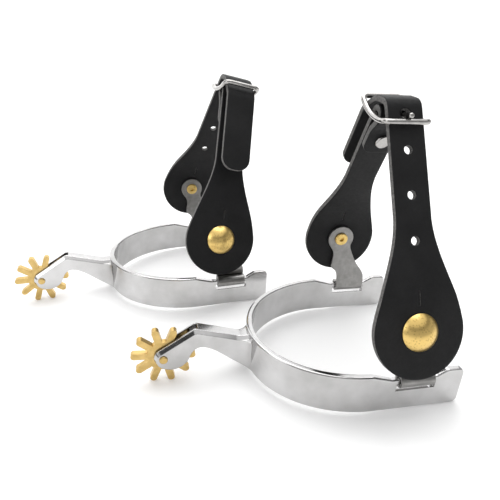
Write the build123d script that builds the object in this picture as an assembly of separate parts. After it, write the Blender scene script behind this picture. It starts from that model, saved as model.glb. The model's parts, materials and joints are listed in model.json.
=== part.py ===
from build123d import *
from math import asin, atan2, cos, degrees, hypot, radians, sin, tan
import os

# A pair of western spurs, one for each foot, standing side by side.
# Each spur is built in its own band frame, in millimetres: +X towards the toe, +Z up,
# x = 0 at the middle of the strap hangers and z = 0 on the lower edge of the heel band.

# Heel band: a flat bar bent to a U
BAND_HALF_WIDTH = 43.2
BAND_THICKNESS = 3.1
BAND_HEIGHT = 20.5
HEEL_CENTRE_X = -18.9
HEEL_DEPTH = 52.6
ARM_END_X = 24.1
ARM_END_RADIUS = 3.0
BAND_EDGE_RADIUS = 0.8

# Window near each arm's end, with the neck bar that the hanger is rolled round above it
WINDOW_HALF_LENGTH = 9.9
WINDOW_LOW_Z = 11.2
BAR_LOW_Z = 14.6
BAR_TOP_Z = 17.6
BAR_CORNER_RADIUS = 1.1
DIP_BACK_X = -22.0
DIP_FRONT_X = 15.5
BAR_Y = BAND_HALF_WIDTH - BAND_THICKNESS / 2
BAR_Z = (BAR_LOW_Z + BAR_TOP_Z) / 2

# Shank, made in one piece with the band, and the fork at its end
SHANK_HALF_WIDTH = 4.4
SHANK_BEVEL = 1.7
SHANK_ROOT_TOP_Z = 18.2
BEND_X = -98.2
BEND_TOP_Z = 24.4
FORK_SLOT_HALF_WIDTH = 1.85
FORK_SLOT_ROOT_X = -96.9
FLARE_LENGTH = 6.8
FLARE_HALF_WIDTH = 9.6

# Rowel and its pin
ROWEL_X = -114.0
ROWEL_Z = 8.5
ROWEL_RADIUS = 16.0
ROWEL_HUB_RADIUS = 8.2
ROWEL_HALF_THICKNESS = 1.5
POINT_COUNT = 10
POINT_HALF_WIDTH = 1.75
PIN_RADIUS = 1.5
PIN_HEAD_RADIUS = 2.1
PIN_HEAD_HEIGHT = 0.9
RUNNING_FIT = 0.08

# Hangers: sheet steel, rolled round the neck bar, standing up to a round head
HANGER_THICKNESS = 1.3
HANGER_HALF_WIDTH = 8.5
ROLL_MOUTH_ANGLE = 125.0
ROLL_INNER_RADIUS = 2.05
ROLL_OUTER_RADIUS = ROLL_INNER_RADIUS + HANGER_THICKNESS
HEAD_X = -8.9
HEAD_Z = 48.3
HEAD_RADIUS = 7.6
SHOULDER_HALF_WIDTH = 8.4
SHOULDER_DROP = 18.0
NECK_HALF_WIDTH = 5.7
NECK_DROP = 8.8
KNEE_Z = 43.0

# Buttons: a domed cap outside the strap, and a rivet through strap and hanger
BUTTON_RADIUS = 8.4
BUTTON_HEIGHT = 4.3
POST_RADIUS = 1.6
POST_DEPTH = 2.0
RIVET_HEAD_RADIUS = 3.8
RIVET_HEAD_HEIGHT = 0.9
DIMPLE_RADIUS = 1.3
PIECE_GAP = 0.3
HANGER_GAP = 0.5
STRAP_HOLE_CLEARANCE = 0.3

# Leather straps
LEATHER = 3.0
TEARDROP_RADIUS = 20.6
STRAP_HALF_WIDTH = 8.3
TAPER_HEIGHT = 46.0
BEND_HEIGHT = 14.0
STRAP_BEND_RADIUS = 30.0
HOLE_RADIUS = 2.4
HOLE_PITCH = 19.5
TOP_HOLE_GAP = 15.5
HOLE_COUNT = 3

# Buckle: a bowed wire frame with a middle bar, held in the fold of the buckle strap.
# The billet strap runs under the near bar, over the fold and under the far bar.
WIRE_RADIUS = 1.3
FRAME_HALF_WIDTH = 10.1
FRAME_CORNER = 3.2
NEAR_BAR_Y = -9.4
NEAR_BAR_Z = 128.3
FAR_BAR_Y = 18.6
FAR_BAR_Z = 134.5
FRAME_BOW = 3.2
MIDDLE_BAR_RADIUS = 1.4
BUCKLE_PLAY = 0.7
TONGUE_RADIUS = 1.2
TONGUE_RING_HALF_WIDTH = 1.8
TONGUE_RING_RADIUS = 2.8
TONGUE_OVERHANG = 2.4
FOLD_RADIUS = MIDDLE_BAR_RADIUS + PIECE_GAP + LEATHER / 2
FOLD_RIVET_DROP = 14.7
FOLD_OVERLAP = 7.5
FOLD_JOIN = 6.2
FOLD_POST_RADIUS = 1.5
FOLD_HEAD_RADIUS = 3.7
FOLD_HEAD_HEIGHT = 1.3
CREST_Z = 135.4
CREST_START_Y = -1.2
CREST_END_Y = 8.1
TAB_TOP_Y = 20.0
TAB_TOP_Z = 128.8
TAB_LEAN = 29.0
TAB_END_RADIUS = 7.2

# A strap's foot: how far out its hanger's plate stands, and how far the strap leans inwards on
# its rivet, in degrees
UPRIGHT_FOOT = (40.9, 0.0)
LEANING_FOOT = (42.0, 20.0)

# How the pair stands: every spur rests on its two arm ends and on its rowel.
# side: -1 puts the free end of the billet strap on the spur's -Y side, +1 on its +Y side.
# tab_length: how much of that free end hangs down below the buckle.
SPURS = {
    "left": {"side": 1, "x": 0.0, "y": 0.0, "yaw": 0.0, "rowel_turn": 69.0,
             "loop_lean": 0.0, "tab_length": 37.0,
             "outer_foot": UPRIGHT_FOOT, "inner_foot": LEANING_FOOT},
    "right": {"side": -1, "x": -74.9, "y": 101.3, "yaw": 6.1, "rowel_turn": 73.6,
              "loop_lean": 12.5, "tab_length": 45.0,
              "outer_foot": LEANING_FOOT, "inner_foot": UPRIGHT_FOOT},
}


def slab(profile_face, low, high):
    """Extrude a face drawn in the XZ plane from y = low to y = high."""
    return extrude(profile_face.moved(Location((0, low, 0))), high - low, dir=(0, 1, 0))


def xz_face(points):
    """A polygon in the XZ plane, from (x, z) points."""
    return make_face(Polyline(*[(x, 0, z) for x, z in points], close=True))


def cylinder_y(x, z, radius, low, high):
    """A cylinder along Y from y = low to y = high."""
    return Pos(x, (low + high) / 2, z) * Rot(90, 0, 0) * Cylinder(radius, high - low)


def strip(path, half_width, thickness):
    """A flat strip of even thickness that follows a path in the YZ plane, centred on x = 0."""
    section = Plane(origin=path @ 0, x_dir=(1, 0, 0), z_dir=path % 0)
    return sweep(section * Rectangle(2 * half_width, thickness), path=path)


# ---------------------------------------------------------------- heel band and shank

def band_plan(inset):
    """The filled U outline of the band, pulled in by inset, in the XY plane."""
    half_width = BAND_HALF_WIDTH - inset
    depth = HEEL_DEPTH - inset
    heel = EllipticalCenterArc((HEEL_CENTRE_X, 0), depth, half_width, 90, arc_size=180)
    arms = Polyline((HEEL_CENTRE_X, -half_width), (ARM_END_X, -half_width),
                    (ARM_END_X, half_width), (HEEL_CENTRE_X, half_width))
    return make_face(heel + arms)


def band_side_face():
    """Side view of the band: the top edge dips over each neck bar, and the ends are rounded."""
    top = FilletPolyline(
        (HEEL_CENTRE_X - HEEL_DEPTH - 1, 0, BAND_HEIGHT), (DIP_BACK_X, 0, BAND_HEIGHT),
        (-WINDOW_HALF_LENGTH - 2.5, 0, BAR_TOP_Z), (WINDOW_HALF_LENGTH + 0.5, 0, BAR_TOP_Z),
        (DIP_FRONT_X, 0, BAND_HEIGHT), (ARM_END_X, 0, BAND_HEIGHT), radius=3.0)
    rest = Polyline((ARM_END_X, 0, BAND_HEIGHT), (ARM_END_X, 0, 0),
                    (HEEL_CENTRE_X - HEEL_DEPTH - 1, 0, 0),
                    (HEEL_CENTRE_X - HEEL_DEPTH - 1, 0, BAND_HEIGHT))
    return make_face(top + rest)


def heel_band():
    wall = extrude(band_plan(0) - band_plan(BAND_THICKNESS), BAND_HEIGHT, dir=(0, 0, 1))
    reach = BAND_HALF_WIDTH + 1
    band = wall & slab(band_side_face(), -reach, reach)
    ends = band.edges().filter_by(Axis.Y).filter_by(lambda e: e.center().X > ARM_END_X - 0.1)
    band = fillet(ends, ARM_END_RADIUS)
    rims = band.edges().filter_by(lambda e: e.center().Z < 0.01 or e.center().Z > BAR_TOP_Z - 0.1)
    band = fillet(rims.filter_by(Axis.Y, reverse=True), BAND_EDGE_RADIUS)
    for side in (-1, 1):
        window = Pos(0, side * BAR_Y, (WINDOW_LOW_Z + BAR_LOW_Z) / 2) * Box(
            2 * WINDOW_HALF_LENGTH, 3 * BAND_THICKNESS, BAR_LOW_Z - WINDOW_LOW_Z)
        band -= window
    under_bars = band.edges().filter_by(Axis.X).filter_by(
        lambda e: abs(e.center().Z - BAR_LOW_Z) < 0.01)
    band = fillet(under_bars, BAR_CORNER_RADIUS)
    fork = shank() - cylinder_y(ROWEL_X, ROWEL_Z, PIN_RADIUS, -FLARE_HALF_WIDTH, FLARE_HALF_WIDTH)
    return band + fork


def shank_side_face(bevel=0.0):
    """Side view of the shank, its upper outline pulled in by bevel: deep at the band, waisted
    at the bend and leaf-shaped at the fork."""
    inside_x = HEEL_CENTRE_X - HEEL_DEPTH + BAND_THICKNESS - 0.6
    root_z = SHANK_ROOT_TOP_Z - bevel
    across, down = 0.56 * bevel, 0.83 * bevel
    brow = (ROWEL_X - 2.2 + across, 0, 12.6 - down)
    chin, throat = (ROWEL_X - 0.8, 0, 3.3), (ROWEL_X + 12.8, 0, 9.0)
    top = FilletPolyline((inside_x, 0, root_z), (BEND_X + 21.6, 0, root_z),
                         (BEND_X + 0.2 * bevel, 0, BEND_TOP_Z - bevel), brow, radius=(8.0, 3.0))
    tip = ThreePointArc(brow, (ROWEL_X - 4.6 + 0.8 * bevel, 0, 7.4), chin)
    belly = ThreePointArc(chin, (ROWEL_X + 7.0, 0, 2.6), throat)
    under = Spline(throat, (BEND_X + 1.4, 0, 14.2), (BEND_X + 14.6, 0, 8.2), (inside_x, 0, 0.3))
    back = Line((inside_x, 0, 0.3), (inside_x, 0, root_z))
    return make_face(top + tip + belly + under + back)


def shank_flare_face():
    """Plan view of the root: the shank's parallel sides curve out into the band."""
    heel_x = HEEL_CENTRE_X - HEEL_DEPTH
    start_x = heel_x - 5.2
    end_x = start_x + FLARE_LENGTH
    inside_x = heel_x + BAND_THICKNESS - 0.6
    outline = Line((start_x, -SHANK_HALF_WIDTH), (start_x, SHANK_HALF_WIDTH))
    for side in (-1, 1):
        outline += TangentArc((start_x, side * SHANK_HALF_WIDTH), (end_x, side * FLARE_HALF_WIDTH),
                              tangent=(1, 0))
        outline += Line((end_x, side * FLARE_HALF_WIDTH), (inside_x, side * FLARE_HALF_WIDTH))
    outline += Line((inside_x, -FLARE_HALF_WIDTH), (inside_x, FLARE_HALF_WIDTH))
    return make_face(outline)


def shank():
    flat = SHANK_HALF_WIDTH - SHANK_BEVEL
    bar = slab(shank_side_face(), -flat, flat)
    for side in (-1, 1):
        inner = shank_side_face().moved(Location((0, side * flat, 0)))
        outer = shank_side_face(SHANK_BEVEL).moved(Location((0, side * SHANK_HALF_WIDTH, 0)))
        bar += loft([inner, outer], ruled=True)
    wide = slab(shank_side_face(), -FLARE_HALF_WIDTH - 1, FLARE_HALF_WIDTH + 1)
    bar += wide & extrude(shank_flare_face(), SHANK_ROOT_TOP_Z - SHANK_BEVEL, dir=(0, 0, 1))
    slot_length = FORK_SLOT_ROOT_X - ROWEL_X + 20
    slot = Pos(FORK_SLOT_ROOT_X - slot_length / 2, 0, 15) * Box(
        slot_length, 2 * FORK_SLOT_HALF_WIDTH, 60)
    return bar - slot


# ---------------------------------------------------------------- rowel and pin

def rowel(turn):
    """A flat star wheel with round-ended points; turn is the angle of one point, from +X to +Z."""
    star = Circle(ROWEL_HUB_RADIUS)
    reach = ROWEL_RADIUS - POINT_HALF_WIDTH
    for index in range(POINT_COUNT):
        angle = turn + 360 / POINT_COUNT * index
        star += Rot(0, 0, angle) * Pos(reach / 2, 0) * Rectangle(reach, 2 * POINT_HALF_WIDTH)
        star += Rot(0, 0, angle) * Pos(reach, 0) * Circle(POINT_HALF_WIDTH)
    star -= Circle(PIN_RADIUS + RUNNING_FIT)
    wheel = extrude(star, ROWEL_HALF_THICKNESS, both=True)
    return Pos(ROWEL_X, 0, ROWEL_Z) * Rot(90, 0, 0) * wheel


def rowel_pin():
    """The pin through the fork, peened to a low round head on both sides."""
    pin = cylinder_y(ROWEL_X, ROWEL_Z, PIN_RADIUS, -SHANK_HALF_WIDTH, SHANK_HALF_WIDTH)
    for side in (-1, 1):
        face = side * SHANK_HALF_WIDTH
        head = cylinder_y(ROWEL_X, ROWEL_Z, PIN_HEAD_RADIUS,
                          *sorted((face, face + side * PIN_HEAD_HEIGHT)))
        outer = head.edges().filter_by(lambda e: abs(abs(e.center().Y) - SHANK_HALF_WIDTH) > 0.5)
        pin += fillet(outer, 0.6)
    return pin


# ---------------------------------------------------------------- hangers and buttons

def hanger_strip(plate_y):
    """A wide hanger on the +Y side: a roll round the bar and a plate cranked outwards."""
    ring = Circle(ROLL_OUTER_RADIUS) - Circle(ROLL_INNER_RADIUS)
    ring -= Rot(0, 0, ROLL_MOUTH_ANGLE) * Pos(5, 0) * Rectangle(10, 1.6)
    roll = extrude(Plane.YZ * Pos(BAR_Y, BAR_Z) * ring, 20, both=True, dir=(1, 0, 0))
    middle = ROLL_INNER_RADIUS + HANGER_THICKNESS / 2
    lean = atan2(plate_y - BAR_Y + middle, KNEE_Z - BAR_Z)
    root = (0, BAR_Y - middle * cos(lean), BAR_Z + middle * sin(lean))
    path = FilletPolyline(root, (0, plate_y, KNEE_Z), (0, plate_y, HEAD_Z + HEAD_RADIUS + 1),
                          radius=12.0)
    return roll + strip(path, 20, HANGER_THICKNESS)


def hanger_face():
    """The hanger seen from the side: wide at the roll, a waisted neck, and a round head set back."""
    def centre_x(drop):
        return HEAD_X * (1 - drop / (HEAD_Z - BAR_Z)) ** 0.8

    turn = radians(25)
    head_x, head_z = HEAD_RADIUS * cos(turn), HEAD_RADIUS * sin(turn)
    shoulder_z, shoulder_x = HEAD_Z - SHOULDER_DROP, centre_x(SHOULDER_DROP)
    neck_z, neck_x = HEAD_Z - NECK_DROP, centre_x(NECK_DROP)
    sides = []
    for side in (1, -1):
        low = (side * HANGER_HALF_WIDTH, 0, 5)
        roll_top = (side * HANGER_HALF_WIDTH, 0, BAR_Z + ROLL_OUTER_RADIUS + 1)
        shoulder = (shoulder_x + side * SHOULDER_HALF_WIDTH, 0, shoulder_z)
        neck = (neck_x + side * NECK_HALF_WIDTH, 0, neck_z)
        head = (HEAD_X + side * head_x, 0, HEAD_Z - head_z)
        sides.append((low, roll_top, shoulder, neck, head))
    (low, roll_top, shoulder, neck, head), (low_2, roll_top_2, shoulder_2, neck_2, head_2) = sides
    right = Line(low, roll_top) + Spline(
        roll_top, shoulder, neck, head, tangents=((0, 0, 1), (sin(turn), 0, cos(turn))))
    crown = ThreePointArc(head, (HEAD_X, 0, HEAD_Z + HEAD_RADIUS), head_2)
    left = Spline(head_2, neck_2, shoulder_2, roll_top_2,
                  tangents=((sin(turn), 0, -cos(turn)), (0, 0, -1))) + Line(roll_top_2, low_2)
    return make_face(right + crown + left + Line(low_2, low))


def hanger(side, foot):
    plate_y = foot[0]
    plate = hanger_strip(plate_y) & slab(hanger_face(), 20, 60)
    plate -= cylinder_y(HEAD_X, HEAD_Z, POST_RADIUS + STRAP_HOLE_CLEARANCE / 2, 20, 60)
    return plate if side > 0 else mirror(plate, Plane.XZ)


def strap_foot_y(foot):
    """Where the strap's middle line crosses the axis through the buttons, on the +Y side.
    A leaning strap stands off so far that it clears the hanger's head all round."""
    plate_y, lean = foot[0], radians(foot[1])
    clear = HANGER_GAP + HEAD_RADIUS * tan(lean)
    return plate_y + HANGER_THICKNESS / 2 + clear + LEATHER / 2 / cos(lean)


def button(side, foot):
    """The domed cap outside the strap, with a blind socket for the rivet's post."""
    sphere_radius = (BUTTON_RADIUS ** 2 + BUTTON_HEIGHT ** 2) / (2 * BUTTON_HEIGHT)
    seat = LEATHER / 2 + PIECE_GAP / 2
    dome = Pos(0, seat + BUTTON_HEIGHT - sphere_radius, 0) * Sphere(sphere_radius)
    cap = dome & cylinder_y(0, 0, BUTTON_RADIUS - 0.2, seat, seat + 2 * BUTTON_HEIGHT)
    cap = Pos(HEAD_X, strap_foot_y(foot), HEAD_Z) * Rot(foot[1], 0, 0) * cap
    cap -= cylinder_y(HEAD_X, HEAD_Z, POST_RADIUS + RUNNING_FIT, 40, post_end(foot) + 0.1)
    return cap if side > 0 else mirror(cap, Plane.XZ)


def post_end(foot):
    """How far out the rivet's post reaches, inside the button."""
    return strap_foot_y(foot) + LEATHER / 2 / cos(radians(foot[1])) + POST_DEPTH


def rivet(side, foot):
    """The post from the cap through strap and hanger, flared on the inside with a dimple."""
    seat = foot[0] - HANGER_THICKNESS / 2 - PIECE_GAP
    post = cylinder_y(HEAD_X, HEAD_Z, POST_RADIUS, seat, post_end(foot))
    flare = cylinder_y(HEAD_X, HEAD_Z, RIVET_HEAD_RADIUS, seat - RIVET_HEAD_HEIGHT, seat)
    flare = fillet(flare.edges().sort_by(Axis.Y)[0], 0.6)
    dimple = cylinder_y(HEAD_X, HEAD_Z, DIMPLE_RADIUS, seat - RIVET_HEAD_HEIGHT - 1, seat + 0.3)
    piece = post + flare - dimple
    return piece if side > 0 else mirror(piece, Plane.XZ)


# ---------------------------------------------------------------- straps

def strap_outline(top):
    """A strap seen from the side: a round lower end at the button, narrowing upwards."""
    shoulder = radians(12)
    side_x = TEARDROP_RADIUS * cos(shoulder)
    side_z = HEAD_Z + TEARDROP_RADIUS * sin(shoulder)
    right = Spline((HEAD_X + side_x, 0, side_z), (HEAD_X + STRAP_HALF_WIDTH, 0, HEAD_Z + TAPER_HEIGHT),
                   tangents=((-sin(shoulder), 0, cos(shoulder)), (-0.06, 0, 1)))
    left = Spline((HEAD_X - STRAP_HALF_WIDTH, 0, HEAD_Z + TAPER_HEIGHT), (HEAD_X - side_x, 0, side_z),
                  tangents=((-0.06, 0, -1), (-sin(shoulder), 0, -cos(shoulder))))
    edges = Polyline(right @ 1, (HEAD_X + STRAP_HALF_WIDTH, 0, top), (HEAD_X - STRAP_HALF_WIDTH, 0, top),
                     left @ 0)
    bowl = ThreePointArc(left @ 1, (HEAD_X, 0, HEAD_Z - TEARDROP_RADIUS), right @ 0)
    return make_face(right + edges + left + bowl)


def frame_tilt():
    """The angle of the buckle's plane above level, in radians."""
    return atan2(FAR_BAR_Z - NEAR_BAR_Z, FAR_BAR_Y - NEAR_BAR_Y)


def middle_bar():
    """The middle bar's (y, z), lowered from the buckle's plane by the bow."""
    tilt = frame_tilt()
    return ((NEAR_BAR_Y + FAR_BAR_Y) / 2 + FRAME_BOW * sin(tilt),
            (NEAR_BAR_Z + FAR_BAR_Z) / 2 - FRAME_BOW * cos(tilt))


def tangent_point(centre, radius, point, side):
    """Where the line from point touches the circle, on its left (+1) or right (-1) side."""
    across, up = centre[0] - point[0], centre[1] - point[1]
    reach = hypot(across, up)
    angle = atan2(up, across) + side * asin(radius / reach)
    run = (reach ** 2 - radius ** 2) ** 0.5
    return point[0] + run * cos(angle), point[1] + run * sin(angle)


def in_yz(*points):
    """Lift (y, z) points into the YZ plane."""
    return [(0, y, z) for y, z in points]


def strap_foot(foot):
    """The (y, z) of a strap's lower end and of its bend, on the +Y side."""
    across, up = -sin(radians(foot[1])), cos(radians(foot[1]))
    foot_y = strap_foot_y(foot)
    below, above = TEARDROP_RADIUS + 1, BEND_HEIGHT
    return ((foot_y - below * across, HEAD_Z - below * up),
            (foot_y + above * across, HEAD_Z + above * up))


def lean_outline(block, side, foot):
    """Lean a strap's outline block like the strap, about the axis through the buttons."""
    about = Pos(0, side * strap_foot_y(foot), HEAD_Z)
    return about * Rot(side * foot[1], 0, 0) * about.inverse() * block


def billet_path(foot, tab_length):
    """The billet strap's middle line: up from the button at -Y, through the buckle, and down."""
    (end_y, end_z), (bend_y, bend_z) = strap_foot(foot)
    passing, lean = billet_line(foot)
    crest_y = passing[0] + tan(lean) * (CREST_Z - passing[1])
    tab_end = (TAB_TOP_Y + tab_length * sin(radians(TAB_LEAN)),
               TAB_TOP_Z - tab_length * cos(radians(TAB_LEAN)))
    return FilletPolyline(
        *in_yz((-end_y, end_z), (-bend_y, bend_z),
               (crest_y, CREST_Z), (CREST_END_Y, CREST_Z), (TAB_TOP_Y, TAB_TOP_Z), tab_end),
        radius=(STRAP_BEND_RADIUS, 4.5, 8.0, 7.0))


def billet_line(foot):
    """Where the billet strap's straight stretch passes the near bar, and its (y, z) direction."""
    under = WIRE_RADIUS + BUCKLE_PLAY + LEATHER / 2
    bend_y, bend_z = strap_foot(foot)[1]
    knee = (-bend_y, bend_z)
    passing = tangent_point((NEAR_BAR_Y, NEAR_BAR_Z), under, knee, -1)
    lean = atan2(passing[0] - knee[0], passing[1] - knee[1])
    return passing, lean


def tongue_hole(foot):
    """Where the prong crosses the billet strap's middle line, as (y, z)."""
    passing, lean = billet_line(foot)
    start, end = tongue_line()
    normal = (-cos(lean), sin(lean))
    climb = (end[0] - start[0]) * normal[0] + (end[1] - start[1]) * normal[1]
    gap = (passing[0] - start[0]) * normal[0] + (passing[1] - start[1]) * normal[1]
    return start[0] + (end[0] - start[0]) * gap / climb, start[1] + (end[1] - start[1]) * gap / climb


def billet_strap(foot, tab_length):
    band = Pos(HEAD_X, 0, 0) * strip(billet_path(foot, tab_length), 22, LEATHER)
    tab_face = xz_face([(HEAD_X + side * STRAP_HALF_WIDTH, z) for side, z in
                        ((-1, 60), (1, 60), (1, 200), (-1, 200))])
    blade = band & lean_outline(slab(strap_outline(220), -120, 90), -1, foot)
    strap = (blade & Pos(0, CREST_START_Y - 100, 100) * Box(100, 200, 300)) + (
        band & slab(tab_face, CREST_START_Y, 90))
    corners = strap.edges().filter_by(
        lambda e: abs(e.length - LEATHER) < 0.1 and e.center().Y > TAB_TOP_Y + 10)
    strap = fillet(corners, TAB_END_RADIUS)
    strap -= cylinder_y(HEAD_X, HEAD_Z, POST_RADIUS + STRAP_HOLE_CLEARANCE, -60, -20)
    lean = billet_line(foot)[1]
    hole = Plane(origin=(HEAD_X, *tongue_hole(foot)), x_dir=(1, 0, 0), z_dir=(0, -cos(lean), sin(lean)))
    drops = [0] + [TOP_HOLE_GAP + index * HOLE_PITCH for index in range(HOLE_COUNT)]
    for drop in drops:
        strap -= hole * Pos(0, -drop, 0) * Cylinder(HOLE_RADIUS, 3 * LEATHER)
    return strap


def tongue_line():
    """The prong's (y, z) ends: from its ring on the middle bar to just past the near bar."""
    bar_y, bar_z = middle_bar()
    rest = WIRE_RADIUS + TONGUE_RADIUS + PIECE_GAP / 2
    near = tangent_point((NEAR_BAR_Y, NEAR_BAR_Z), rest, (bar_y, bar_z), -1)
    reach = hypot(near[0] - bar_y, near[1] - bar_z)
    grow = (reach + TONGUE_OVERHANG) / reach
    shrink = (TONGUE_RING_RADIUS - 0.6) / reach
    start = (bar_y + (near[0] - bar_y) * shrink, bar_z + (near[1] - bar_z) * shrink)
    end = (bar_y + (near[0] - bar_y) * grow, bar_z + (near[1] - bar_z) * grow)
    return start, end


def buckle_frame():
    """Round wire bent to a bowed oblong, with the middle bar across it."""
    tilt = frame_tilt()
    length = hypot(FAR_BAR_Y - NEAR_BAR_Y, FAR_BAR_Z - NEAR_BAR_Z)
    half, corner = FRAME_HALF_WIDTH, FRAME_CORNER
    drop = 4 * FRAME_BOW * corner / length
    rise = Vector(0, 1, -4 * FRAME_BOW / length).normalized()
    fall = Vector(0, 1, 4 * FRAME_BOW / length).normalized()
    near = Line((0, 0, 0), (half - corner, 0, 0))
    near_corner = Spline((half - corner, 0, 0), (half, corner, -drop * 0.8),
                         tangents=((1, 0, 0), tuple(rise)))
    side = Spline((half, corner, -drop * 0.8), (half, length / 2, -FRAME_BOW),
                  (half, length - corner, -drop * 0.8), tangents=(tuple(rise), tuple(fall)))
    far_corner = Spline((half, length - corner, -drop * 0.8), (half - corner, length, 0),
                        tangents=(tuple(fall), (-1, 0, 0)))
    far = Line((half - corner, length, 0), (0, length, 0))
    path = Wire([near.edge(), near_corner.edge(), side.edge(), far_corner.edge(), far.edge()])
    half_frame = sweep(Plane.YZ * Circle(WIRE_RADIUS), path=path)
    bar = Pos(0, length / 2, -FRAME_BOW) * Rot(0, 90, 0) * Cylinder(MIDDLE_BAR_RADIUS, 2 * half)
    frame = half_frame + mirror(half_frame, Plane.YZ) + bar
    return Pos(HEAD_X, NEAR_BAR_Y, NEAR_BAR_Z) * Rot(degrees(tilt), 0, 0) * frame


def buckle_tongue():
    """A prong with a ring round the middle bar; its point rests on the near bar."""
    bar_y, bar_z = middle_bar()
    start, end = tongue_line()
    ring = Pos(HEAD_X, bar_y, bar_z) * Rot(0, 90, 0) * (
        Cylinder(TONGUE_RING_RADIUS, 2 * TONGUE_RING_HALF_WIDTH)
        - Cylinder(MIDDLE_BAR_RADIUS + RUNNING_FIT, 4 * TONGUE_RING_HALF_WIDTH))
    reach = Vector(0, end[0] - start[0], end[1] - start[1])
    prong = Plane(origin=(HEAD_X, *start), z_dir=reach) * Cylinder(
        TONGUE_RADIUS, reach.length, align=(Align.CENTER, Align.CENTER, Align.MIN))
    tip = prong.edges().sort_by(Axis.Y)[0]
    return ring + fillet(tip, 0.7 * TONGUE_RADIUS)


def buckle_strap_lines(foot):
    """The buckle strap's middle line in parts, with the rivet's place on it."""
    bar = middle_bar()
    knee = strap_foot(foot)[1]
    outer = tangent_point(bar, FOLD_RADIUS, knee, -1)
    run = Vector(0, outer[0] - knee[0], outer[1] - knee[1]).normalized()
    inward = Vector(0, -run.Z, run.Y)
    rivet_at = Vector(0, *outer) - run * FOLD_RIVET_DROP
    layer = LEATHER + PIECE_GAP / 2
    joined = rivet_at + run * FOLD_JOIN + inward * layer
    inner = tangent_point(bar, FOLD_RADIUS, (joined.Y, joined.Z), 1)
    return outer, inner, run, inward, rivet_at, joined


def buckle_strap(foot):
    bar_y, bar_z = middle_bar()
    outer, inner, run, inward, rivet_at, joined = buckle_strap_lines(foot)
    last = joined - run * (FOLD_JOIN + FOLD_OVERLAP)
    rise = FilletPolyline(*in_yz(*strap_foot(foot), outer), radius=STRAP_BEND_RADIUS)
    top = Vector(0, bar_y, bar_z) + run * FOLD_RADIUS
    wrap = ThreePointArc((0, *outer), tuple(top), (0, *inner))
    back = FilletPolyline((0, *inner), tuple(joined), tuple(last), radius=12)
    path = Wire([*rise.edges(), *wrap.edges(), *back.edges()])
    band = Pos(HEAD_X, 0, 0) * strip(path, 22, LEATHER)
    strap = band & lean_outline(slab(strap_outline(220), -90, 120), 1, foot)
    strap -= cylinder_y(HEAD_X, HEAD_Z, POST_RADIUS + STRAP_HOLE_CLEARANCE, 20, 60)
    strap -= fold_rivet_place(foot) * Cylinder(FOLD_POST_RADIUS, 6 * LEATHER)
    slot = Box(2 * TONGUE_RING_HALF_WIDTH + 2 * PIECE_GAP, 30, 4 * FOLD_RADIUS)
    half_turn = degrees(atan2(run.Z, run.Y)) - 90
    strap -= Pos(HEAD_X, bar_y, bar_z) * Rot(half_turn, 0, 0) * Pos(0, 0, FOLD_RADIUS) * slot
    return strap


def fold_rivet_place(foot):
    """The rivet's axis through both layers of the fold, pointing into the loop."""
    inward, rivet_at = buckle_strap_lines(foot)[3:5]
    return Plane(origin=(HEAD_X, rivet_at.Y, rivet_at.Z), z_dir=tuple(inward))


def fold_rivet(foot):
    """The rivet's inner head and its post."""
    inner_face = LEATHER * 1.5 + PIECE_GAP / 2
    head = Pos(0, 0, inner_face) * Cylinder(
        FOLD_HEAD_RADIUS, FOLD_HEAD_HEIGHT, align=(Align.CENTER, Align.CENTER, Align.MIN))
    head = fillet(head.edges().sort_by(Axis.Z)[-1], 0.8)
    post = Pos(0, 0, -LEATHER / 2) * Cylinder(
        FOLD_POST_RADIUS, inner_face + LEATHER / 2, align=(Align.CENTER, Align.CENTER, Align.MIN))
    return fold_rivet_place(foot) * (head + post)


def fold_rivet_cap(foot):
    """The rivet's outer cap, under the billet strap's free end."""
    cap = Pos(0, 0, -LEATHER / 2 - FOLD_HEAD_HEIGHT) * Cylinder(
        FOLD_HEAD_RADIUS, FOLD_HEAD_HEIGHT, align=(Align.CENTER, Align.CENTER, Align.MIN))
    cap = fillet(cap.edges().sort_by(Axis.Z)[0], 0.8)
    return fold_rivet_place(foot) * cap


# ---------------------------------------------------------------- the pair

def lean_loop(piece, angle):
    """Swing a piece of the strap loop forwards about the axis through both buttons."""
    about = Pos(HEAD_X, 0, HEAD_Z)
    return about * Rot(0, angle, 0) * about.inverse() * piece


def spur_pieces(spur):
    """One spur's pieces in its band frame, by name."""
    outer, inner = spur["outer_foot"], spur["inner_foot"]
    loop = {
        "billet_strap": billet_strap(inner, spur["tab_length"]), "buckle_strap": buckle_strap(outer),
        "buckle_frame": buckle_frame(), "buckle_tongue": buckle_tongue(),
        "fold_rivet": fold_rivet(outer), "fold_rivet_cap": fold_rivet_cap(outer),
        "outer_button": button(1, outer), "inner_button": button(-1, inner)}
    pieces = {
        "heel_band": heel_band(), "rowel": rowel(spur["rowel_turn"]), "rowel_pin": rowel_pin(),
        "outer_hanger": hanger(1, outer), "inner_hanger": hanger(-1, inner),
        "outer_rivet": rivet(1, outer), "inner_rivet": rivet(-1, inner)}
    pieces.update({name: lean_loop(piece, spur["loop_lean"]) for name, piece in loop.items()})
    if spur["side"] < 0:
        pieces = {name: mirror(piece, Plane.XZ) for name, piece in pieces.items()}
    return pieces


def rest_tilt(rowel_turn):
    """How far the heel is raised, in radians, so that the arm ends and the rowel touch the ground."""
    toe_x, toe_z = ARM_END_X - ARM_END_RADIUS, ARM_END_RADIUS
    reach = ROWEL_RADIUS - POINT_HALF_WIDTH
    tilts = []
    for index in range(POINT_COUNT):
        angle = radians(rowel_turn + 360 / POINT_COUNT * index)
        across = toe_x - (ROWEL_X + reach * cos(angle))
        up = ROWEL_Z + reach * sin(angle) - toe_z
        span = hypot(across, up)
        tilts.append(asin((POINT_HALF_WIDTH - ARM_END_RADIUS) / span) - atan2(up, across))
    return max(tilts)


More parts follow.
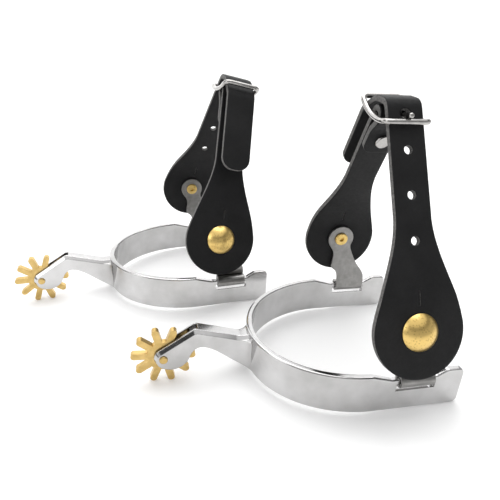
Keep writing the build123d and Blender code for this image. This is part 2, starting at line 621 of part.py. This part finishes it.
def spur_location(spur):
    """Where a spur's band frame stands on the ground."""
    tilt = rest_tilt(spur["rowel_turn"])
    toe_x, toe_z = ARM_END_X - ARM_END_RADIUS, ARM_END_RADIUS
    lift = ARM_END_RADIUS + toe_x * sin(tilt) - toe_z * cos(tilt)
    ground = Location((spur["x"], spur["y"], 0), (0, 0, spur["yaw"]))
    return ground * Location((0, 0, lift), (0, degrees(tilt), 0))


def build_pair():
    """Every piece of both spurs, with the origin under the middle of the pair's box."""
    nodes = {}
    for name, spur in SPURS.items():
        place = spur_location(spur)
        for piece_name, piece in spur_pieces(spur).items():
            nodes[f"{name}_{piece_name}"] = place * piece
    boxes = [node.bounding_box() for node in nodes.values()]
    low = [min(tuple(box.min)[axis] for box in boxes) for axis in range(3)]
    high = [max(tuple(box.max)[axis] for box in boxes) for axis in range(3)]
    shift = Pos(-(low[0] + high[0]) / 2, -(low[1] + high[1]) / 2, -low[2])
    return {name: shift * node for name, node in nodes.items()}, shift


def main():
    os.makedirs("parts", exist_ok=True)
    nodes, _ = build_pair()
    for name, node in nodes.items():
        export_step(node, f"parts/{name}.step")


if __name__ == "__main__":
    main()
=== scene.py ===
import json
from math import asin, atan2, cos, pi, radians, sin, sqrt, tan

import bmesh
import bpy
from mathutils import Matrix, Vector, noise


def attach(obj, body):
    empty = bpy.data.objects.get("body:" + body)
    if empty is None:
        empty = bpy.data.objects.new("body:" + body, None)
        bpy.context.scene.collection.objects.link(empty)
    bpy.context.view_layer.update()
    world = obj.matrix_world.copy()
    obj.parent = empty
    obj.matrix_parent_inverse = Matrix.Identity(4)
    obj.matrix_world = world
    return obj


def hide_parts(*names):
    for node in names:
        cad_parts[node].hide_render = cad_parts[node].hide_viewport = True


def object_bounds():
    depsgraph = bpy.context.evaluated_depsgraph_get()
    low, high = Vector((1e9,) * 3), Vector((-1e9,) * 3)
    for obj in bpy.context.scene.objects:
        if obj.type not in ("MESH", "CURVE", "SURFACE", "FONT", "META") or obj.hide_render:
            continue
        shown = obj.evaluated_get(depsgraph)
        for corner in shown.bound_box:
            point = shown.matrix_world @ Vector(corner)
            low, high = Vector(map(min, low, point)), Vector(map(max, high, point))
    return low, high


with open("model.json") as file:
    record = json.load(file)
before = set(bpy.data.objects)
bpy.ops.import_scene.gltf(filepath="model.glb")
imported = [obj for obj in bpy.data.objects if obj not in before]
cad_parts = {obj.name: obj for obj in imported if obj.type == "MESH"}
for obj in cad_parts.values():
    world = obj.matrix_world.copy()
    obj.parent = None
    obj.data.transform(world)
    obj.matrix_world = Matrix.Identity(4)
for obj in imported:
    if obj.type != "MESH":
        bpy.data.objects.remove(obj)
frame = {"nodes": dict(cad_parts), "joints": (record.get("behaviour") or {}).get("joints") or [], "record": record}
cad_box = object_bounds()
JOINTS = {joint["name"]: joint for joint in frame["joints"]}
MM = 0.001

# ---------------------------------------------------------------- dimensions, in millimetres

# Heights of a spur's hanger bars and rowel pin above the lower edge of its heel band
BAR_HEIGHT = 16.1
ROWEL_HEIGHT = 8.5

# Leather straps; heights are measured from the axis through the buttons
LEATHER = 3.0
EDGE_ROUND = 0.5
HANGER_THICKNESS = 1.3
HANGER_GAP = 0.5
HEAD_RADIUS = 7.6
TEARDROP_RADIUS = 20.6
TEARDROP_EDGE = TEARDROP_RADIUS + 1
SHOULDER_ANGLE = radians(12)
STRAP_HALF_WIDTH = 8.3
TAPER_LENGTH = 47.0
BILLET_END_RADIUS = 7.0
BUCKLE_STRAP_END_RADIUS = 5.0
BEND_HEIGHT = 14.0
BEND_RADIUS = 30.0
POST_HOLE_RADIUS = 1.9
PUNCH_RADIUS = 1.9
TONGUE_HOLE_RADIUS = 2.5
PUNCH_COUNT = 3
PUNCH_PITCH = 19.5
TOP_PUNCH_GAP = 15.5
SLIT_START = 11.5
SLIT_LENGTH = 6.0
SLIT_HALF_WIDTH = 0.2

# A strap's foot: how far out its hanger's plate stands, how far the strap leans inwards on its
# rivet, and how far up the strap its tongue hole is
UPRIGHT_FOOT = (40.9, 0.0, 92.1)
LEANING_FOOT = (42.0, radians(20), 92.7)
FEET = {
    "left": {"billet": LEANING_FOOT, "buckle": UPRIGHT_FOOT},
    "right": {"billet": UPRIGHT_FOOT, "buckle": LEANING_FOOT},
}

# Over the buckle: the near bar, and the crest between the bars that the billet strap runs over
NEAR_BAR = (-9.4, 80.0)
BILLET_UNDER_BAR = 3.5
CREST_HEIGHT = 87.1
CREST_END = (8.1, CREST_HEIGHT)
TAB_TOP = (20.0, 80.5)
TAB_LEAN = radians(29)
TAB_LENGTH = {"left": 37.0, "right": 45.0}
CREST_RADII = [4.5, 8.0, 7.0]

# The buckle strap's fold over the middle bar, and its return layer inside the loop
FOLD_RADIUS = 3.2
FOLD_RETURN_START = 8.5
FOLD_RETURN_LENGTH = 13.7
FOLD_RETURN_RADIUS = 12.0
FOLD_LAYER = 3.15
FOLD_SLOT_HALF_WIDTH = 2.1
FOLD_SLOT_MARGIN = 2.9

# Where the grain side is pressed in, as a reach and a depth, and how the leather waves
BUTTON_DISH = (9.5, 0.35)
PUNCH_DISH = (4.0, 0.3)
WAVE_HEIGHT = 0.10
WAVE_SCALE = (0.045, 0.035)
WAVE_SEED = 3.1

# Cutting a flat strap into facets that can bend, and telling its faces from its cut edges
WELD_DISTANCE = 0.002
FIRST_CROSS_CUT = 0.7
CROSS_CUT_STEP = 1.5
LONG_CUTS = (-18.0, 19.0, 2.6)
EDGE_SLOPE = 0.55

# Drawing the outline: how far a handle reaches on a rounded corner, as a share of its radius,
# how the taper leans where it meets the straight sides, the top end's short handle, the points
# round a hole, and the arcs on each side of the round lower end
CORNER_REACH = 0.55
TAPER_DIRECTION = Vector((-0.05, 1))
END_REACH = 0.1
HOLE_POINTS = 8
ARCS_PER_SIDE = 4

# The studio, in metres and degrees; the room's greys go by how far up they are, from 0 straight
# below the spurs to 1 straight above
FLOOR_SIZE = 6.0
FLOOR_DROP = 0.0001
FLOOR_GLOW = 0.12
SCREEN_PLACE = (0, 2.4, 1.5)
SCREEN_GLOW = 1.0
LOWEST_GREY = 0.10
ROOM_GREYS = ((0.16, 0.60), (0.40, 0.62), (0.49, 0.03), (0.61, 0.05), (0.67, 1.0))
CAMERA_FROM_SPUR = Vector((-0.1068, -0.1895, 0.1730))
CAMERA_DOWN = 24.55
CAMERA_TURN = -11.27
CAMERA_LENS = 33.55
CAMERA_SHIFT = -0.0606


# ---------------------------------------------------------------- where each spur stands

def joint_place(name):
    """A joint's pivot in the shared frame, in metres."""
    return Vector(JOINTS[name]["pos_m"])


def spur_frame(spur):
    """The spur's own axes, as a matrix from its millimetres to the shared frame: +X to the toe,
    +Y to the outer hanger, +Z up, with z = 0 on the lower edge of the heel band."""
    outer = joint_place(f"{spur}_outer_hanger_sway")
    inner = joint_place(f"{spur}_inner_hanger_sway")
    middle = (outer + inner) / 2
    across = (outer - inner).normalized()
    along = middle - joint_place(f"{spur}_rowel_spin")
    climb = asin((BAR_HEIGHT - ROWEL_HEIGHT) * MM / along.length)
    along.normalize()
    upright = along.cross(across)
    if upright.z < 0:
        upright = -upright
    toe = along * cos(climb) - upright * sin(climb)
    up = along * sin(climb) + upright * cos(climb)
    origin = middle - up * BAR_HEIGHT * MM
    columns = Matrix((toe, across, up)).transposed() * MM
    return Matrix.Translation(origin) @ columns.to_4x4()


def loop_frame(spur):
    """The strap loop's axes, in millimetres: +Z up the straps from the buttons' axis."""
    place = spur_frame(spur)
    buttons = place.inverted() @ joint_place(f"{spur}_outer_button_level")
    buttons.y = 0
    buckle = place.inverted() @ joint_place(f"{spur}_buckle_tip")
    lean = atan2(buckle.x - buttons.x, buckle.z - buttons.z)
    return place @ Matrix.Translation(buttons) @ Matrix.Rotation(lean, 4, "Y")


# ---------------------------------------------------------------- materials

MIX_FIRST_COLOUR, MIX_SECOND_COLOUR, MIX_RESULT_COLOUR = 6, 7, 2
RIM_RADIUS = 0.5


class Nodes:
    """A material's node tree, with short ways to add what most of the finishes need."""

    def __init__(self, name):
        self.material = bpy.data.materials.new(name)
        self.material.use_nodes = True
        self.tree = self.material.node_tree
        self.shader = self.tree.nodes["Principled BSDF"]
        self.place = self.add("ShaderNodeTexCoord").outputs["Object"]

    def add(self, kind, **values):
        node = self.tree.nodes.new(kind)
        for key, value in values.items():
            setattr(node, key, value)
        return node

    def link(self, source, target):
        self.tree.links.new(source, target)

    def stretched(self, scale):
        mapping = self.add("ShaderNodeMapping")
        mapping.inputs["Scale"].default_value = scale
        self.link(self.place, mapping.inputs["Vector"])
        return mapping.outputs["Vector"]

    def noise(self, scale, detail=4.0, roughness=0.55, where=None):
        texture = self.add("ShaderNodeTexNoise")
        texture.inputs["Scale"].default_value = scale
        texture.inputs["Detail"].default_value = detail
        texture.inputs["Roughness"].default_value = roughness
        self.link(where or self.place, texture.inputs["Vector"])
        return texture.outputs["Fac"]

    def cells(self, scale, feature="F1"):
        texture = self.add("ShaderNodeTexVoronoi", feature=feature)
        texture.inputs["Scale"].default_value = scale
        self.link(self.place, texture.inputs["Vector"])
        return texture.outputs["Distance"]

    def remap(self, value, low, high, to_low, to_high):
        node = self.add("ShaderNodeMapRange")
        ends = {"From Min": low, "From Max": high, "To Min": to_low, "To Max": to_high}
        for key, number in ends.items():
            node.inputs[key].default_value = number
        self.link(value, node.inputs["Value"])
        return node.outputs["Result"]

    def mix(self, factor, first, second):
        """A colour between two; the node's sockets share names, so its colours go by number."""
        node = self.add("ShaderNodeMix", data_type="RGBA")
        self.link(factor, node.inputs["Factor"])
        node.inputs[MIX_FIRST_COLOUR].default_value = (*first, 1)
        node.inputs[MIX_SECOND_COLOUR].default_value = (*second, 1)
        return node.outputs[MIX_RESULT_COLOUR]

    def blotches(self, value, low, high, first, second):
        """The first colour where the value is low, blending to the second where it is high."""
        return self.mix(self.remap(value, low, high, 0.0, 1.0), first, second)

    def rounded_rims(self, radius):
        """A normal that rounds sharp edges off by a radius in millimetres."""
        node = self.add("ShaderNodeBevel", samples=6)
        node.inputs["Radius"].default_value = radius * MM
        return node.outputs["Normal"]

    def bump(self, height, strength, distance, after=None):
        node = self.add("ShaderNodeBump")
        node.inputs["Strength"].default_value = strength
        node.inputs["Distance"].default_value = distance * MM
        self.link(height, node.inputs["Height"])
        if after:
            self.link(after, node.inputs["Normal"])
        return node.outputs["Normal"]

    def finish(self, colour=None, roughness=None, normal=None, **values):
        """Wire up the shader; values are constants set on its own sockets."""
        sources = {"Base Color": colour, "Roughness": roughness, "Normal": normal}
        for socket, source in sources.items():
            if source:
                self.link(source, self.shader.inputs[socket])
        for key, number in values.items():
            self.shader.inputs[key.replace("_", " ")].default_value = number
        return self.material


def polished_steel():
    """The heel band: bright, with blotches of painted reflection in its colour, a soft polishing
    haze in its roughness, fine hairlines and rounded rims.
    """
    nodes = Nodes("polished_steel")
    mottling = nodes.noise(38.0)
    hairlines = nodes.noise(260.0, 3.0, where=nodes.stretched((0.35, 3.0, 9.0)))
    # Painted reflection: lighter and darker blotches of colour stand in for a mottled reflection
    colour = nodes.blotches(mottling, 0.35, 0.65, (0.44, 0.435, 0.43), (0.60, 0.595, 0.595))
    roughness = nodes.remap(mottling, 0.3, 0.7, 0.10, 0.16)
    normal = nodes.bump(hairlines, 0.06, 0.05, after=nodes.rounded_rims(RIM_RADIUS))
    return nodes.finish(colour, roughness, normal, Metallic=1.0)


def brushed_steel():
    """The hangers: satin sheet steel with an upright grain, rubbed marks and rounded rims."""
    nodes = Nodes("brushed_steel")
    grain = nodes.noise(500.0, 4.0, 0.7, where=nodes.stretched((4.0, 4.0, 0.35)))
    marks = nodes.noise(320.0, 3.0)
    colour = nodes.blotches(marks, 0.35, 0.7, (0.24, 0.235, 0.228), (0.31, 0.305, 0.295))
    roughness = nodes.remap(grain, 0.3, 0.7, 0.28, 0.40)
    normal = nodes.bump(grain, 0.18, 0.08, after=nodes.rounded_rims(RIM_RADIUS))
    return nodes.finish(colour, roughness, normal, Metallic=1.0)


def satin_brass():
    """The rowel and its pin: pale brass, tumbled to a satin finish."""
    nodes = Nodes("satin_brass")
    cloud = nodes.noise(240.0)
    fine = nodes.noise(1800.0, 3.0)
    colour = nodes.blotches(cloud, 0.35, 0.65, (0.52, 0.36, 0.13), (0.66, 0.47, 0.19))
    roughness = nodes.remap(fine, 0.3, 0.7, 0.26, 0.40)
    normal = nodes.bump(fine, 0.15, 0.06)
    return nodes.finish(colour, roughness, normal, Metallic=1.0)


def polished_brass():
    """The buttons: yellow brass with small specks and dents from wear."""
    nodes = Nodes("polished_brass")
    specks = nodes.cells(900.0)
    dents = nodes.noise(300.0, 2.0)
    colour = nodes.blotches(specks, 0.1, 0.4, (0.50, 0.34, 0.11), (0.76, 0.54, 0.19))
    roughness = nodes.remap(specks, 0.05, 0.35, 0.46, 0.32)
    normal = nodes.bump(dents, 0.12, 0.10)
    return nodes.finish(colour, roughness, normal, Metallic=1.0)


def nickel_plate():
    """The buckle, its tongue and the fold rivets: bright plate, faintly uneven."""
    nodes = Nodes("nickel_plate")
    mottling = nodes.noise(300.0)
    colour = nodes.blotches(mottling, 0.35, 0.65, (0.36, 0.35, 0.34), (0.47, 0.46, 0.445))
    roughness = nodes.remap(mottling, 0.3, 0.7, 0.12, 0.20)
    normal = nodes.bump(nodes.noise(700.0, 2.0), 0.08, 0.08)
    return nodes.finish(colour, roughness, normal, Metallic=1.0)


def black_leather():
    """The straps' grain side: dyed black, matt, with pebbled grain and soft creases."""
    nodes = Nodes("black_leather")
    pebbles = nodes.cells(1500.0, "SMOOTH_F1")
    creases = nodes.noise(650.0, 5.0, 0.6)
    clouds = nodes.noise(60.0, 3.0)
    colour = nodes.blotches(clouds, 0.3, 0.7, (0.0065, 0.0065, 0.007), (0.0125, 0.0125, 0.013))
    roughness = nodes.remap(creases, 0.3, 0.7, 0.52, 0.66)
    normal = nodes.bump(creases, 0.25, 0.12, after=nodes.bump(pebbles, 0.30, 0.10))
    return nodes.finish(colour, roughness, normal, Specular_IOR_Level=0.22)


def raw_leather_edge():
    """The straps' cut edges: fibres left grey by the dye."""
    nodes = Nodes("raw_leather_edge")
    fibres = nodes.noise(900.0, 5.0, 0.7)
    colour = nodes.blotches(fibres, 0.35, 0.7, (0.060, 0.059, 0.057), (0.190, 0.185, 0.18))
    normal = nodes.bump(fibres, 0.6, 0.18)
    return nodes.finish(colour, None, normal, Roughness=0.85)


def studio_paper(name, glow):
    """Seamless white paper; glow is the strength of its own light, as if lit from behind."""
    nodes = Nodes(name)
    fibre = nodes.noise(35.0, 4.0)
    colour = nodes.mix(fibre, (0.91, 0.91, 0.91), (0.93, 0.93, 0.93))
    nodes.shader.inputs["Emission Color"].default_value = (1, 1, 1, 1)
    return nodes.finish(colour, None, None, Roughness=0.9, Emission_Strength=glow)


FINISHES = {
    "polished_steel": polished_steel(), "brushed_steel": brushed_steel(),
    "satin_brass": satin_brass(), "polished_brass": polished_brass(),
    "nickel_plate": nickel_plate(), "black_leather": black_leather(),
}
EDGE_LEATHER = raw_leather_edge()


def dress_cad_nodes():
    """Give every CAD node the material of its slot in the record."""
    for subpart in frame["record"]["subparts"]:
        data = frame["nodes"][subpart["node"]].data
        data.materials.clear()
        data.materials.append(FINISHES[subpart["material_slot"]])


# ---------------------------------------------------------------- leather straps

def add_loop(curve, points, handles=None):
    """A closed Bezier loop through (x, y) points; without (left, right) handles it is smooth."""
    spline = curve.splines.new("BEZIER")
    spline.bezier_points.add(len(points) - 1)
    spline.use_cyclic_u = True
    for index, (x, y) in enumerate(points):
        point = spline.bezier_points[index]
        point.co = (x, y, 0)
        if handles is None:
            point.handle_left_type = point.handle_right_type = "AUTO"
        else:
            point.handle_left_type = point.handle_right_type = "FREE"
            point.handle_left = (*handles[index][0], 0)
            point.handle_right = (*handles[index][1], 0)
    spline.resolution_u = 12


def add_hole(curve, x, y, half_width, half_height):
    """An oval hole, drawn the other way round from the outline."""
    angles = [-2 * pi * index / HOLE_POINTS for index in range(HOLE_POINTS)]
    add_loop(curve, [(x + half_width * cos(angle), y + half_height * sin(angle))
                     for angle in angles])


def strap_outline(curve, length, end_radius):
    """The flat strap: a round lower end about the button, hollow sides, and a rounded top end."""
    radius, half = TEARDROP_RADIUS, STRAP_HALF_WIDTH
    low = -pi / 2
    span = pi / 2 + SHOULDER_ANGLE
    arc_handle = 4 / 3 * tan(span / ARCS_PER_SIDE / 4) * radius
    points, handles = [], []
    for index in range(2 * ARCS_PER_SIDE + 1):
        angle = low - span + span * index / ARCS_PER_SIDE
        position = Vector((cos(angle), sin(angle))) * radius
        along = Vector((-sin(angle), cos(angle)))
        points.append(position)
        handles.append([position - along * arc_handle, position + along * arc_handle])
    shoulder = points[-1]
    taper = Vector((half, TAPER_LENGTH))
    pull = (taper - shoulder).length / 3
    lean_in = Vector((-sin(SHOULDER_ANGLE), cos(SHOULDER_ANGLE))) * pull
    rise = TAPER_DIRECTION.normalized() * pull
    handles[-1][1] = shoulder + lean_in
    handles[0][0] = Vector((-handles[-1][1].x, handles[-1][1].y))
    side = [(taper, taper - rise, taper + Vector((0, 1)))]
    corner = Vector((half, length - end_radius))
    side.append((corner, corner - Vector((0, 1)),
                 corner + Vector((0, CORNER_REACH * end_radius))))
    top = Vector((half - end_radius, length))
    side.append((top, top + Vector((CORNER_REACH * end_radius, 0)), top - Vector((END_REACH, 0))))
    for position, before, after in side:
        points.append(position)
        handles.append([before, after])
    for position, before, after in reversed(side):
        points.append(Vector((-position.x, position.y)))
        handles.append([Vector((-after.x, after.y)), Vector((-before.x, before.y))])
    add_loop(curve, points, handles)


def flat_strap(name, length, end_radius, holes):
    """A flat strap with rounded rims in the XY plane, y measured up from the button."""
    curve = bpy.data.curves.new(name, "CURVE")
    curve.dimensions = "2D"
    curve.fill_mode = "BOTH"
    curve.extrude = LEATHER / 2 - EDGE_ROUND
    curve.bevel_depth = EDGE_ROUND
    curve.bevel_resolution = 2
    curve.offset = -EDGE_ROUND
    strap_outline(curve, length, end_radius)
    for hole in holes:
        add_hole(curve, *hole)
    carrier = bpy.data.objects.new(name, curve)
    bpy.context.scene.collection.objects.link(carrier)
    bpy.context.view_layer.update()
    evaluated = carrier.evaluated_get(bpy.context.evaluated_depsgraph_get())
    mesh = bpy.data.meshes.new_from_object(evaluated)
    bpy.data.objects.remove(carrier)
    return mesh


def slice_along(shape, axis, low, high, step):
    """Cut every face at even steps along an axis, so that the strap can bend."""
    direction = Vector([1.0 if index == axis else 0.0 for index in range(3)])
    at = low
    while at < high:
        bmesh.ops.bisect_plane(shape, geom=shape.verts[:] + shape.edges[:] + shape.faces[:],
                               plane_co=direction * at, plane_no=direction, dist=1e-5)
        at += step


def turned(vector, angle):
    """A flat vector turned anticlockwise."""
    return Vector((vector.x * cos(angle) - vector.y * sin(angle),
                   vector.x * sin(angle) + vector.y * cos(angle)))


class Route:
    """A strap's middle line in the (y, z) plane: straight runs joined by arcs."""

    def __init__(self, corners, radii):
        self.runs = []
        start = Vector(corners[0])
        for index in range(1, len(corners) - 1):
            corner, after = Vector(corners[index]), Vector(corners[index + 1])
            before = (corner - start).normalized()
            ahead = (after - corner).normalized()
            turn = atan2(before.x * ahead.y - before.y * ahead.x, before.dot(ahead))
            setback = radii[index - 1] * tan(abs(turn) / 2)
            entry = corner - before * setback
            self.runs.append(("line", start, before, (entry - start).length, 0.0))
            self.runs.append(("arc", entry, before, radii[index - 1] * abs(turn), turn))
            start = corner + ahead * setback
        last = Vector(corners[-1]) - start
        self.runs.append(("line", start, last.normalized(), last.length, 0.0))
        self.length = self.length_before(len(self.runs))

    def length_before(self, index):
        return sum(run[3] for run in self.runs[:index])

    def at(self, length):
        """The point and the direction at a length along the route."""
        for index, (kind, start, along, run, turn) in enumerate(self.runs):
            if length <= run or index == len(self.runs) - 1:
                break
            length -= run
        if kind == "line":
            return start + along * length, along
        share = turn * length / run
        radius = run / turn
        side = Vector((-along.y, along.x))
        centre = start + side * radius
        return centre + turned(start - centre, share), turned(along, share)


def press_in(point, spots):
    """How far the grain side is pressed in at a point; spots are (height, (reach, depth))."""
    depth = 0.0
    for height, (reach, amount) in spots:
        gap = (Vector((point.x, point.y)) - Vector((0, height))).length / reach
        depth += amount * max(0.0, 1 - gap) ** 2
    return depth


def bend_strap(mesh, name, route, outward, place, spots):
    """Slice the flat strap, wave and press it a little, and bend it along its route."""
    shape = bmesh.new()
    shape.from_mesh(mesh)
    bmesh.ops.remove_doubles(shape, verts=shape.verts, dist=WELD_DISTANCE)
    ends = [min(v.co.y for v in shape.verts), max(v.co.y for v in shape.verts)]
    slice_along(shape, 1, ends[0] + FIRST_CROSS_CUT, ends[1], CROSS_CUT_STEP)
    slice_along(shape, 0, *LONG_CUTS)
    bmesh.ops.recalc_face_normals(shape, faces=shape.faces)
    for face in shape.faces:
        face.material_index = 1 if abs(face.normal.z) < EDGE_SLOPE else 0
        face.smooth = True
    for vertex in shape.verts:
        x, y, z = vertex.co
        ripple = Vector((x * WAVE_SCALE[0], y * WAVE_SCALE[1], WAVE_SEED))
        wave = noise.noise(ripple) * WAVE_HEIGHT
        pressed = press_in(vertex.co, spots) * (1 if z > 0 else 0)
        across = z + wave - pressed
        point, along = route.at(y + TEARDROP_EDGE)
        side = Vector((-along.y, along.x)) * outward
        centre = point + side * across
        vertex.co = place @ Vector((x, centre.x, centre.y))
    bmesh.ops.recalc_face_normals(shape, faces=shape.faces)
    bent = bpy.data.meshes.new(name)
    shape.to_mesh(bent)
    shape.free()
    bent.materials.append(FINISHES["black_leather"])
    bent.materials.append(EDGE_LEATHER)
    piece = bpy.data.objects.new(name, bent)
    bpy.context.scene.collection.objects.link(piece)
    return piece


def strap_foot(foot):
    """The (y, z) of a strap's lower end and of its bend, on the +Y side."""
    plate_y, lean, _ = foot
    clear = HANGER_GAP + HEAD_RADIUS * tan(lean)
    foot_y = plate_y + HANGER_THICKNESS / 2 + clear + LEATHER / 2 / cos(lean)
    return (Vector((foot_y + TEARDROP_EDGE * sin(lean), -TEARDROP_EDGE * cos(lean))),
            Vector((foot_y - BEND_HEIGHT * sin(lean), BEND_HEIGHT * cos(lean))))


def tangent_point(centre, radius, start, side):
    """Where the line from start touches the circle, on its left (+1) or right (-1) side."""
    ahead = Vector(centre) - Vector(start)
    angle = atan2(ahead.y, ahead.x) + side * asin(radius / ahead.length)
    run = sqrt(ahead.length ** 2 - radius ** 2)
    return Vector(start) + Vector((cos(angle), sin(angle))) * run


def billet_route(spur):
    """Up from the button at -Y, under the buckle's near bar, over the crest and down the tab."""
    end, bend = strap_foot(FEET[spur]["billet"])
    end.x, bend.x = -end.x, -bend.x
    passing = tangent_point(NEAR_BAR, BILLET_UNDER_BAR, bend, -1)
    slope = (passing.x - bend.x) / (passing.y - bend.y)
    crest = (passing.x + slope * (CREST_HEIGHT - passing.y), CREST_HEIGHT)
    tab_end = Vector(TAB_TOP) + Vector((sin(TAB_LEAN), -cos(TAB_LEAN))) * TAB_LENGTH[spur]
    return Route([end, bend, crest, CREST_END, TAB_TOP, tab_end], [BEND_RADIUS, *CREST_RADII])


def buckle_route(spur):
    """Up from the button at +Y, round the buckle's middle bar and back down on the inside."""
    end, bend = strap_foot(FEET[spur]["buckle"])
    place = loop_frame(spur).inverted() @ joint_place(f"{spur}_buckle_tip")
    bar = Vector((place.y, place.z))
    outer = tangent_point(bar, FOLD_RADIUS, bend, -1)
    run = (outer - bend).normalized()
    inward = Vector((-run.y, run.x))
    joined = outer - run * FOLD_RETURN_START + inward * FOLD_LAYER
    inner = tangent_point(bar, FOLD_RADIUS, joined, 1)
    back = (inner - joined).normalized()
    climb = (FOLD_RADIUS - (joined - bar).dot(run)) / back.dot(run)
    corners = [end, bend, outer + run * FOLD_RADIUS, joined + back * climb, joined,
               joined - run * FOLD_RETURN_LENGTH]
    return Route(corners, [BEND_RADIUS, FOLD_RADIUS, FOLD_RADIUS, FOLD_RETURN_RADIUS])


def button_cuts():
    """The post's hole, and the nick above it where the strap is pulled over the button."""
    return [(0, 0, POST_HOLE_RADIUS, POST_HOLE_RADIUS),
            (0, SLIT_START + SLIT_LENGTH / 2, SLIT_HALF_WIDTH, SLIT_LENGTH / 2)]


def billet_strap(spur):
    """The strap with the tongue hole, the row of punched holes and the free tab."""
    route = billet_route(spur)
    holes = button_cuts()
    spots = [(0, BUTTON_DISH)]
    for drop in [0] + [TOP_PUNCH_GAP + PUNCH_PITCH * index for index in range(PUNCH_COUNT)]:
        at = FEET[spur]["billet"][2] - drop
        radius = PUNCH_RADIUS if drop else TONGUE_HOLE_RADIUS
        holes.append((0, at, radius, radius))
        spots.append((at, PUNCH_DISH))
    mesh = flat_strap(f"{spur}_billet_flat", route.length - TEARDROP_EDGE, BILLET_END_RADIUS, holes)
    piece = bend_strap(mesh, f"{spur}_billet_leather", route, 1, loop_frame(spur), spots)
    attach(piece, f"{spur}_strap_loop")
    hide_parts(f"{spur}_billet_strap")


def buckle_strap(spur):
    """The strap that holds the buckle in its fold, with a slot there for the tongue."""
    route = buckle_route(spur)
    slot_low = route.length_before(3) - TEARDROP_EDGE - FOLD_SLOT_MARGIN
    slot_high = route.length_before(6) - TEARDROP_EDGE + FOLD_SLOT_MARGIN
    holes = [*button_cuts(),
             (0, (slot_low + slot_high) / 2, FOLD_SLOT_HALF_WIDTH, (slot_high - slot_low) / 2)]
    mesh = flat_strap(f"{spur}_buckle_flat", route.length - TEARDROP_EDGE,
                      BUCKLE_STRAP_END_RADIUS, holes)
    piece = bend_strap(mesh, f"{spur}_buckle_leather", route, -1, loop_frame(spur),
                       [(0, BUTTON_DISH)])
    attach(piece, f"{spur}_strap_loop")
    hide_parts(f"{spur}_buckle_strap")


# ---------------------------------------------------------------- studio

def add_floor():
    """White paper under the pair, and a white screen far behind it."""
    bpy.ops.mesh.primitive_plane_add(size=FLOOR_SIZE,
                                     location=(0, 0, cad_box[0][2] - FLOOR_DROP))
    floor = bpy.context.object
    floor.name = "floor"
    floor.data.materials.append(studio_paper("floor_paper", FLOOR_GLOW))
    bpy.ops.mesh.primitive_plane_add(size=FLOOR_SIZE, location=SCREEN_PLACE,
                                     rotation=(radians(90), 0, 0))
    screen = bpy.context.object
    screen.name = "screen"
    screen.data.materials.append(studio_paper("screen_paper", SCREEN_GLOW))


def add_softbox(name, place, target, width, height, power):
    """A rectangular lamp that faces the target; metres and watts."""
    light = bpy.data.lights.new(name, "AREA")
    light.shape = "RECTANGLE"
    light.size, light.size_y = width, height
    light.energy = power
    lamp = bpy.data.objects.new(name, light)
    lamp.location = place
    lamp.rotation_euler = (Vector(target) - Vector(place)).to_track_quat("-Z", "Y").to_euler()
    bpy.context.scene.collection.objects.link(lamp)


def add_light():
    """A bright ceiling over a room with a dark band at eye level, and two softboxes."""
    world = bpy.data.worlds.new("studio")
    world.use_nodes = True
    tree = world.node_tree
    place = tree.nodes.new("ShaderNodeTexCoord")
    height = tree.nodes.new("ShaderNodeSeparateXYZ")
    ramp = tree.nodes.new("ShaderNodeValToRGB")
    tree.links.new(place.outputs["Generated"], height.inputs["Vector"])
    tree.links.new(height.outputs["Z"], ramp.inputs["Fac"])
    tree.links.new(ramp.outputs["Color"], tree.nodes["Background"].inputs["Color"])
    steps = ramp.color_ramp.elements
    steps[0].position, steps[0].color = 0.0, (*[LOWEST_GREY] * 3, 1)
    steps[1].position, steps[1].color = 1.0, (1, 1, 1, 1)
    for position, grey in ROOM_GREYS:
        steps.new(position).color = (grey, grey, grey, 1)
    bpy.context.scene.world = world
    add_softbox("top_softbox", (0.1, 0.25, 0.9), (0, 0, 0.03), 0.9, 0.7, 5.0)
    add_softbox("side_softbox", (-0.9, -0.3, 0.55), (0, 0, 0.04), 0.5, 0.5, 1.8)


def add_camera():
    """The camera stands in front of the left spur's heel, a little above its straps."""
    camera = bpy.data.objects.new("camera", bpy.data.cameras.new("camera"))
    camera.location = spur_frame("left").translation + CAMERA_FROM_SPUR
    camera.rotation_euler = (radians(90 - CAMERA_DOWN), 0, radians(CAMERA_TURN))
    camera.data.lens = CAMERA_LENS
    camera.data.shift_y = CAMERA_SHIFT
    camera.data.clip_start = 0.01
    bpy.context.scene.collection.objects.link(camera)
    bpy.context.scene.camera = camera


add_camera()
dress_cad_nodes()
for spur in ("left", "right"):
    billet_strap(spur)
    buckle_strap(spur)
add_floor()
add_light()
bpy.context.scene.view_settings.view_transform = "Standard"
